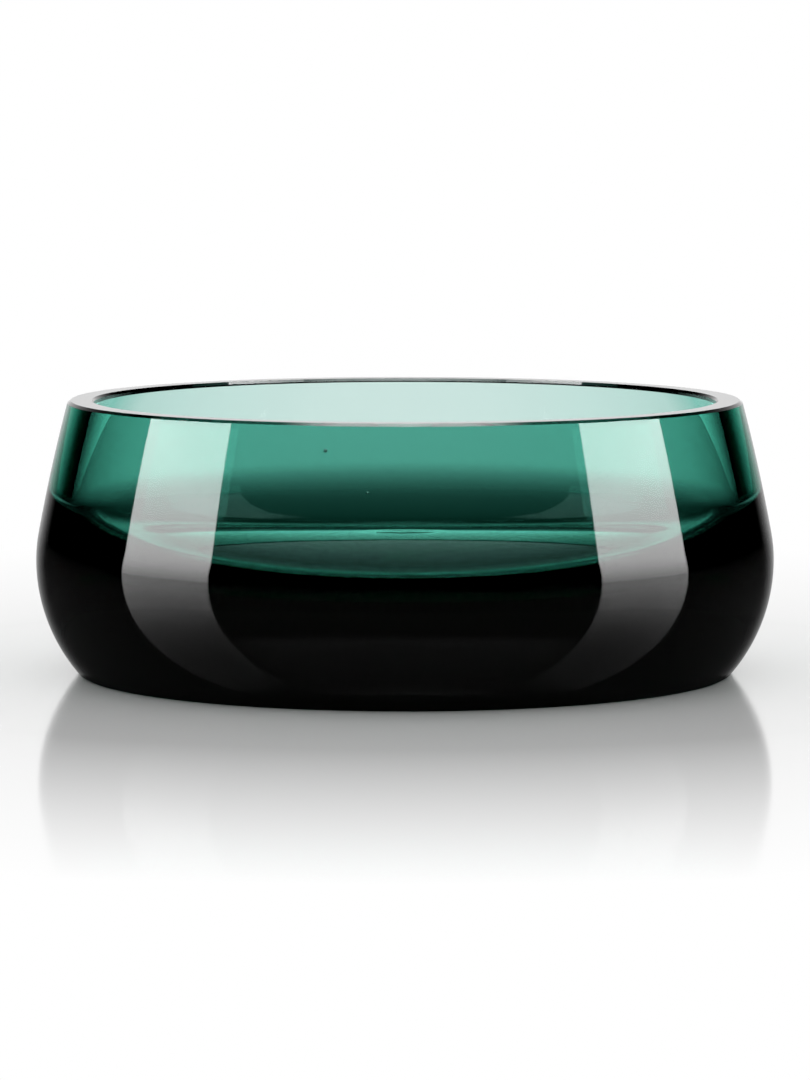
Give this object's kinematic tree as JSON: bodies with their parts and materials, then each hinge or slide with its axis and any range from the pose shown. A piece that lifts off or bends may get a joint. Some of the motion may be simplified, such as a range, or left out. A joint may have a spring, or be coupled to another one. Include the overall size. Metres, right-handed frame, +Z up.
{
  "type": "glass bowl",
  "caption": "Heavy round bowl of dark teal glass with a thick solid bottom, an inward-leaning wall and a flat cut rim.",
  "frame": {"origin": "centre of the ground underside", "axes": "+Z up along the bowl's axis; the bowl is round, so X and Y are any two square directions"},
  "size_m": [0.25, 0.25, 0.0927],
  "materials": {
    "dark_teal_glass": "fire polished, with a cut and polished rim"
  },
  "bodies": {
    "root": {"first_gather": "dark_teal_glass", "second_gather": "dark_teal_glass", "third_gather": "dark_teal_glass"}
  },
  "joints": []
}
